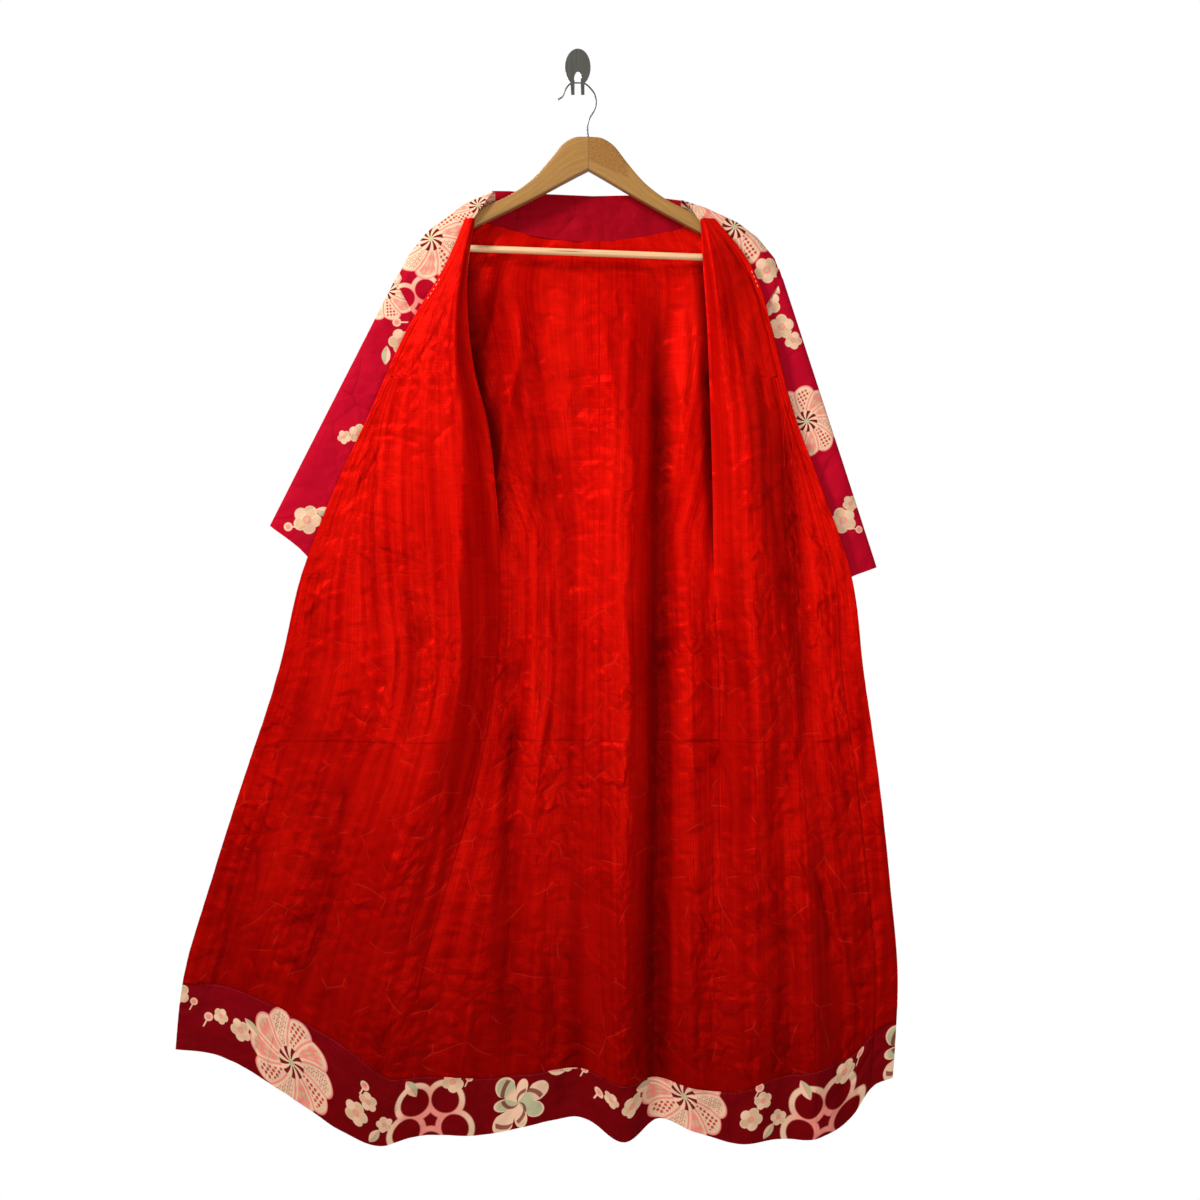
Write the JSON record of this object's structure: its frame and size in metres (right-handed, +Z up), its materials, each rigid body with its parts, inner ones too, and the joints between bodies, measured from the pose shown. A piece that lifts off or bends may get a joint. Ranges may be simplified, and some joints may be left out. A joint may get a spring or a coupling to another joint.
{
  "type": "kimono on wooden hanger and wall hook",
  "caption": "Lined silk kimono hung wide open on a wooden hanger from an oval wall hook, its red lining and patterned hem facing towards the viewer.",
  "frame": {"origin": "centre of the wall hook's flat back face, on the wall", "axes": "+X to the right as seen from the front, +Y into the wall, +Z up; the garment hangs in front of the wall, towards -Y"},
  "size_m": [1.0578, 0.0868, 1.6119],
  "materials": {
    "outer_silk": "crimson silk crepe printed with blossom motifs in cream, pink and sage",
    "lining_silk": "thin plain-woven red lining silk with a soft sheen and slubs",
    "hanger_wood": "clear-varnished pale wood",
    "hanger_wire": "bright plated steel wire",
    "hook_plate": "dark grey brushed metal plate"
  },
  "bodies": {
    "root": {"overlap_left": "outer_silk", "front_left": "outer_silk", "back_left": "outer_silk", "back_right": "outer_silk", "front_right": "outer_silk", "overlap_right": "outer_silk", "hem_facing_overlap_left": "outer_silk", "hem_facing_front_left": "outer_silk", "hem_facing_back_left": "outer_silk", "hem_facing_back_right": "outer_silk", "hem_facing_front_right": "outer_silk", "hem_facing_overlap_right": "outer_silk", "collar_left": "outer_silk", "collar_right": "outer_silk", "collar_back": "outer_silk", "shoulder_left": "outer_silk", "shoulder_right": "outer_silk", "sleeve_left": "outer_silk", "sleeve_right": "outer_silk", "upper_lining_overlap_left": "lining_silk", "upper_lining_front_left": "lining_silk", "upper_lining_back_left": "lining_silk", "upper_lining_back_right": "lining_silk", "upper_lining_front_right": "lining_silk", "upper_lining_overlap_right": "lining_silk", "lower_lining_overlap_left": "lining_silk", "lower_lining_front_left": "lining_silk", "lower_lining_back_left": "lining_silk", "lower_lining_back_right": "lining_silk", "lower_lining_front_right": "lining_silk", "lower_lining_overlap_right": "lining_silk", "hanger_arm_left": "hanger_wood", "hanger_arm_right": "hanger_wood", "hanger_bar": "hanger_wood", "hanger_wire": "hanger_wire", "wall_hook": "hook_plate"}
  },
  "joints": []
}
